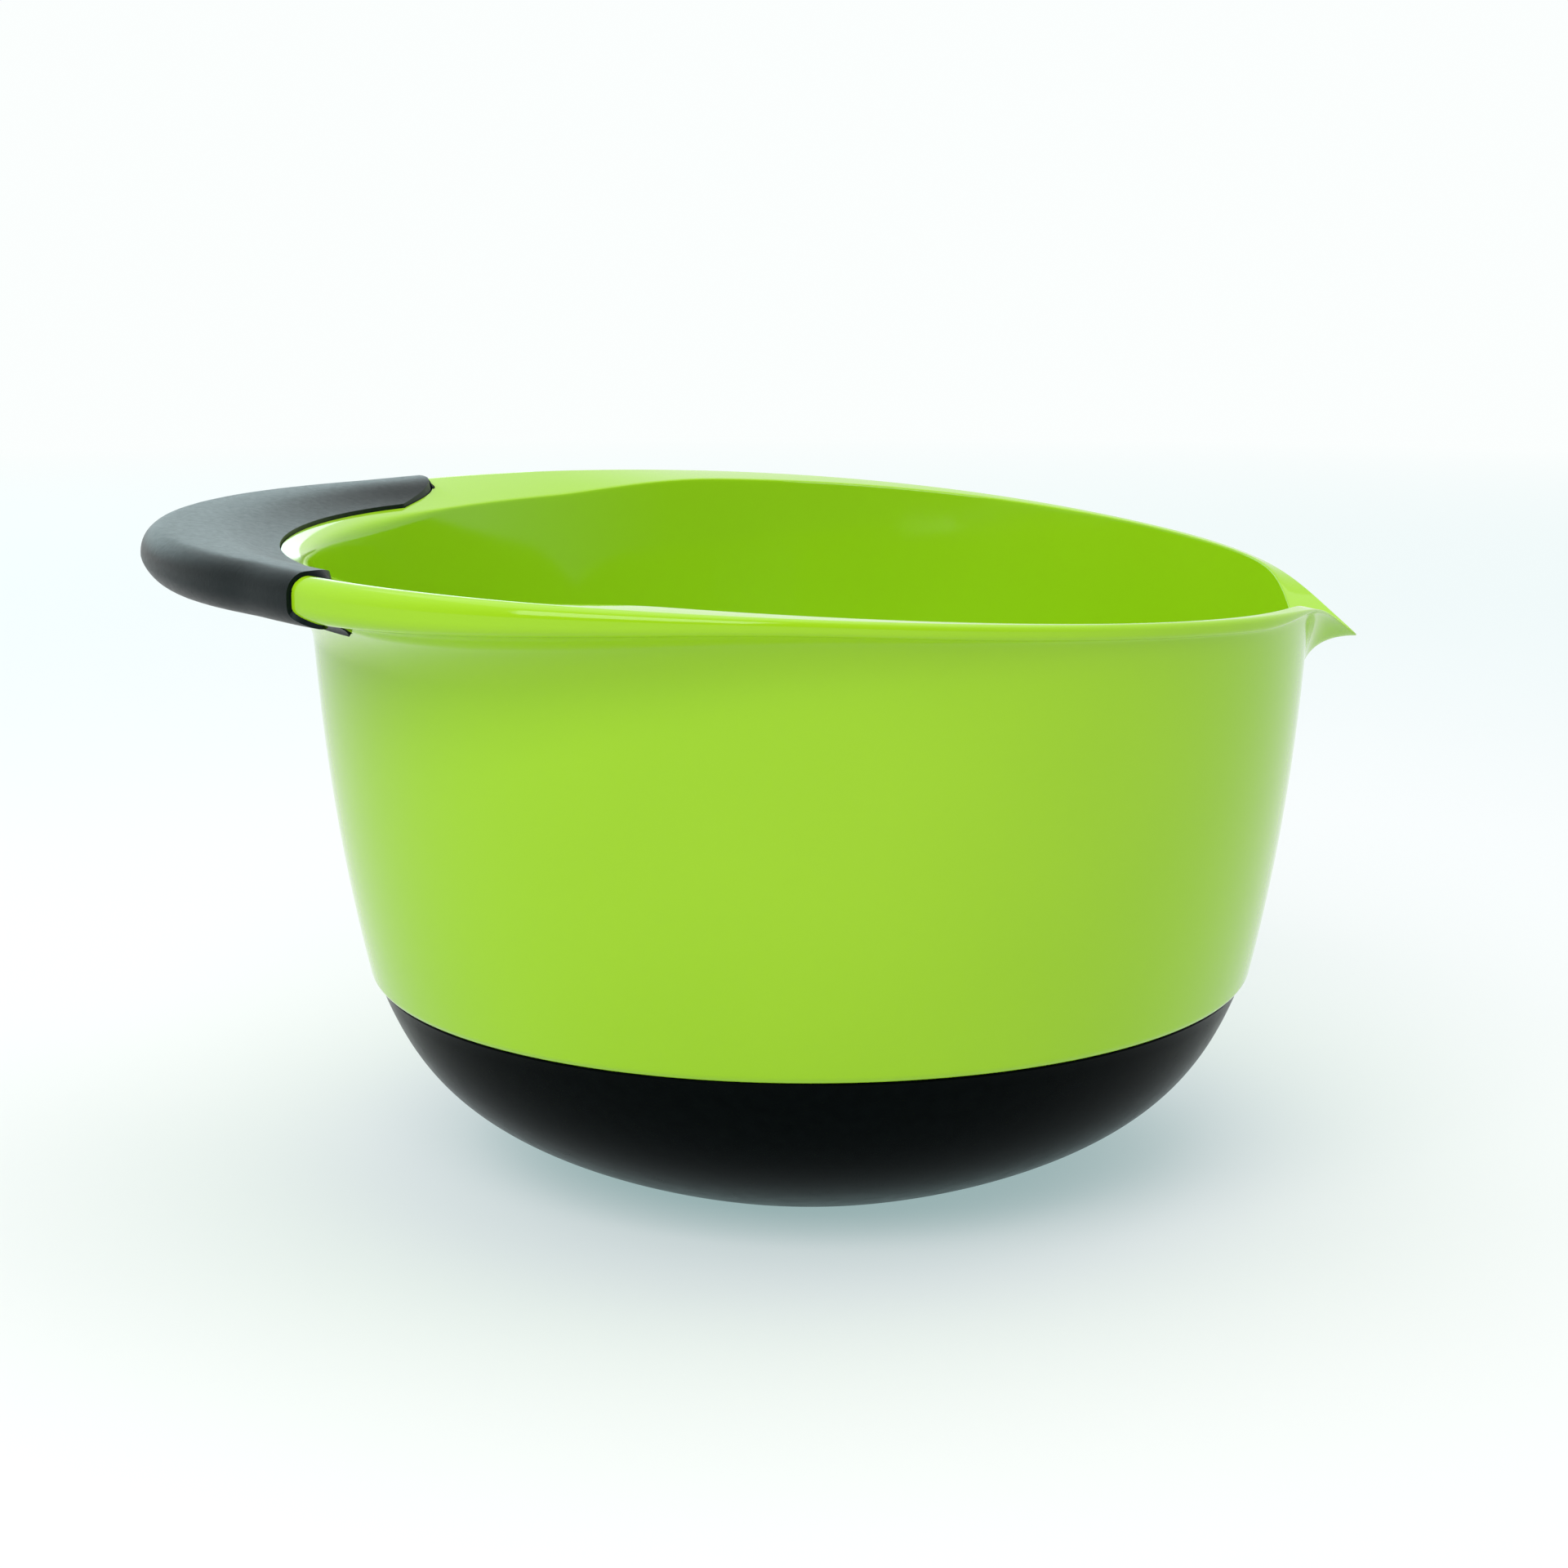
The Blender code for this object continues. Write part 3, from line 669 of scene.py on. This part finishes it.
class Nodes:
    """A short way to write a material's node tree."""

    def __init__(self, name):
        self.material = bpy.data.materials.new(name)
        self.material.use_nodes = True
        self.tree = self.material.node_tree
        self.shader = self.tree.nodes["Principled BSDF"]
        self.place = self.add("ShaderNodeTexCoord").outputs["Object"]

    def add(self, kind, **inputs):
        node = self.tree.nodes.new(kind)
        for name, value in inputs.items():
            self.put(node, name.replace("_", " "), value)
        return node

    def put(self, node, name, value):
        if isinstance(value, bpy.types.NodeSocket):
            self.tree.links.new(value, node.inputs[name])
        else:
            node.inputs[name].default_value = value

    def noise(self, scale, detail=2.0, roughness=0.5):
        node = self.add("ShaderNodeTexNoise", Vector=self.place, Scale=scale)
        node.inputs["Detail"].default_value = detail
        node.inputs["Roughness"].default_value = roughness
        return node.outputs["Fac"]

    def spread(self, value, low, high, middle=0.5, width=0.25):
        """A value about the middle turned into a number from low to high."""
        node = self.add("ShaderNodeMapRange", Value=value)
        node.inputs["From Min"].default_value = middle - width
        node.inputs["From Max"].default_value = middle + width
        node.inputs["To Min"].default_value = low
        node.inputs["To Max"].default_value = high
        return node.outputs["Result"]

    def mix(self, share, low, high):
        """Two colours mixed."""
        node = self.tree.nodes.new("ShaderNodeMix")
        node.data_type = "RGBA"
        self.tree.links.new(share, node.inputs["Factor"])
        for socket, colour in ((node.inputs[MIX_LOW], low), (node.inputs[MIX_HIGH], high)):
            if isinstance(colour, bpy.types.NodeSocket):
                self.tree.links.new(colour, socket)
            else:
                socket.default_value = (*colour, 1)
        return node.outputs[MIX_RESULT]

    def colours(self, value, low, high):
        """A value turned into a colour between two."""
        return self.mix(self.spread(value, 0, 1), low, high)

    def bump(self, height, distance, strength=1.0, normal=None):
        node = self.add("ShaderNodeBump", Height=height, Distance=distance, Strength=strength)
        if normal is not None:
            self.tree.links.new(normal, node.inputs["Normal"])
        return node.outputs["Normal"]

    def set(self, **inputs):
        for name, value in inputs.items():
            self.put(self.shader, name.replace("_", " "), value)


def green_plastic():
    """Polished moulded plastic: nearly even in colour, with a faint waviness and a very fine grain."""
    nodes = Nodes("green_plastic")
    nodes.set(Base_Color=nodes.colours(nodes.noise(GREEN_PATCH_SCALE), *GREEN_SHADES))
    nodes.set(Roughness=nodes.spread(nodes.noise(GREEN_SMEAR_SCALE, FINE_DETAIL), *GREEN_ROUGHNESS))
    waves = nodes.bump(nodes.noise(GREEN_WAVE_SCALE), GREEN_WAVE_DEPTH, GREEN_WAVE_STRENGTH)
    grain = nodes.noise(GREEN_GRAIN_SCALE)
    nodes.set(Normal=nodes.bump(grain, GREEN_GRAIN_DEPTH, GREEN_GRAIN_STRENGTH, waves))
    nodes.set(IOR=GREEN_IOR)
    return nodes.material


def grip_rubber():
    """Black soft-touch rubber with a fine matt grain."""
    nodes = Nodes("grip_rubber")
    specks = nodes.noise(GRIP_SPECK_SCALE, FINE_DETAIL, GRIP_SPECK_ROUGHNESS)
    nodes.set(Base_Color=nodes.colours(specks, *GRIP_SHADES))
    nodes.set(Roughness=nodes.spread(nodes.noise(GRIP_SMEAR_SCALE, FINE_DETAIL), *GRIP_ROUGHNESS))
    grain = nodes.noise(GRIP_GRAIN_SCALE, GRIP_GRAIN_DETAIL, GRIP_SPECK_ROUGHNESS)
    nodes.set(Normal=nodes.bump(grain, GRIP_GRAIN_DEPTH, GRIP_GRAIN_STRENGTH))
    nodes.set(Specular_Tint=GRIP_SHEEN)
    nodes.set(IOR=GRIP_IOR)
    return nodes.material


def base_rubber():
    """Black soft rubber with a smooth satin face."""
    nodes = Nodes("base_rubber")
    patches = nodes.noise(BASE_PATCH_SCALE, BASE_PATCH_DETAIL)
    nodes.set(Base_Color=nodes.colours(patches, *BASE_SHADES))
    nodes.set(Roughness=nodes.spread(nodes.noise(BASE_SMEAR_SCALE, FINE_DETAIL), *BASE_ROUGHNESS))
    grain = nodes.noise(BASE_GRAIN_SCALE, FINE_DETAIL)
    nodes.set(Normal=nodes.bump(grain, BASE_GRAIN_DEPTH, BASE_GRAIN_STRENGTH))
    nodes.set(Specular_Tint=BASE_SHEEN)
    nodes.set(IOR=BASE_IOR)
    return nodes.material


def floor_paint():
    """A pale matt sheet with a painted cyan glow near the bowl that lifts its shadow, and which glows evenly
    white far from the bowl.
    """
    nodes = Nodes("floor_paint")
    distance = nodes.add("ShaderNodeVectorMath", Vector=nodes.place)
    distance.operation = "LENGTH"
    middle = (FLOOR_NEAR + FLOOR_FAR) / 2
    far = nodes.spread(distance.outputs["Value"], 0, 1, middle, middle - FLOOR_NEAR)
    paint = nodes.colours(nodes.noise(FLOOR_PAINT_SCALE), *FLOOR_PAINT)
    painted_glow = nodes.colours(nodes.noise(FLOOR_GLOW_SCALE), *FLOOR_PAINTED_GLOW)
    nodes.set(Base_Color=nodes.mix(far, paint, BLACK))
    # Painted light: near the bowl the floor glows cyan, which lightens and tints the bowl's shadow on it. Far
    # off it glows evenly white.
    nodes.set(Emission_Color=nodes.mix(far, painted_glow, WHITE))
    nodes.set(Emission_Strength=nodes.spread(far, FLOOR_PAINTED_GLOW_NEAR, 1, width=0.5))
    nodes.set(Roughness=nodes.spread(nodes.noise(FLOOR_SMEAR_SCALE), *FLOOR_ROUGHNESS))
    nodes.set(Specular_IOR_Level=0.0)
    return nodes.material


# The studio.


def make_floor():
    mesh = bpy.data.meshes.new("floor")
    signs = ((-1, -1), (1, -1), (1, 1), (-1, 1))
    corners = [(x * FLOOR_REACH, y * FLOOR_REACH, 0) for x, y in signs]
    mesh.from_pydata(corners, [], [(0, 1, 2, 3)])
    add_object("floor", mesh, floor_paint())


def make_world():
    """A studio's white surroundings, dark on the side that faces the bowl's front."""
    world = bpy.data.worlds.new("studio")
    world.use_nodes = True
    tree = world.node_tree
    background = tree.nodes["Background"]
    direction = tree.nodes.new("ShaderNodeTexCoord").outputs["Generated"]
    split = tree.nodes.new("ShaderNodeSeparateXYZ")
    tree.links.new(direction, split.inputs["Vector"])
    strength = tree.nodes.new("ShaderNodeMapRange")
    tree.links.new(split.outputs["Y"], strength.inputs["Value"])
    strength.inputs["From Min"].default_value = WORLD_DARK_TO
    strength.inputs["From Max"].default_value = WORLD_WHITE_FROM
    strength.inputs["To Min"].default_value = WORLD_FRONT
    tree.links.new(strength.outputs["Result"], background.inputs["Strength"])
    background.inputs["Color"].default_value = (*WHITE, 1)
    bpy.context.scene.world = world


def soft_light(name, place_at, width, height, power, colour):
    """A rectangular soft light facing the bowl."""
    data = bpy.data.lights.new(name, "AREA")
    data.shape = "RECTANGLE"
    data.size = width
    data.size_y = height
    data.energy = power
    data.color = colour
    light = bpy.data.objects.new(name, data)
    bpy.context.scene.collection.objects.link(light)
    light.location = place_at
    towards = Vector(LIGHTS_AIM) - Vector(place_at)
    light.rotation_euler = towards.to_track_quat("-Z", "Y").to_euler()
    light.visible_camera = False


def make_camera():
    data = bpy.data.cameras.new("camera")
    data.sensor_width = CAMERA_SENSOR
    data.lens = CAMERA_LENS
    data.shift_x = CAMERA_SHIFT
    camera = bpy.data.objects.new("camera", data)
    bpy.context.scene.collection.objects.link(camera)
    camera.location = (
        CAMERA_DISTANCE * sin(CAMERA_TURN),
        -CAMERA_DISTANCE * cos(CAMERA_TURN),
        CAMERA_HEIGHT,
    )
    camera.rotation_euler = (pi / 2 - CAMERA_LOOKS_DOWN, 0, CAMERA_TURN)
    bpy.context.scene.camera = camera


def build():
    make_camera()
    make_world()
    make_floor()
    for light in LIGHTS:
        soft_light(*light)

    green = green_plastic()
    grip = add_object("grip", grip_mesh(), grip_rubber())
    base = add_object("base", cap_mesh(), base_rubber())
    bowl = add_object("bowl", shell_mesh(), green)
    cut_seat(bowl, add_object("grip_cutter", cutter_mesh(grip.data), green))

    for piece, node, slot in (
        (bowl, "bowl_shell", "green_plastic"),
        (grip, "handle_grip", "grip_rubber"),
        (base, "base_cap", "base_rubber"),
    ):
        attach(piece, "root")
        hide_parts(node)
    bpy.context.scene.view_settings.view_transform = "Standard"


build()
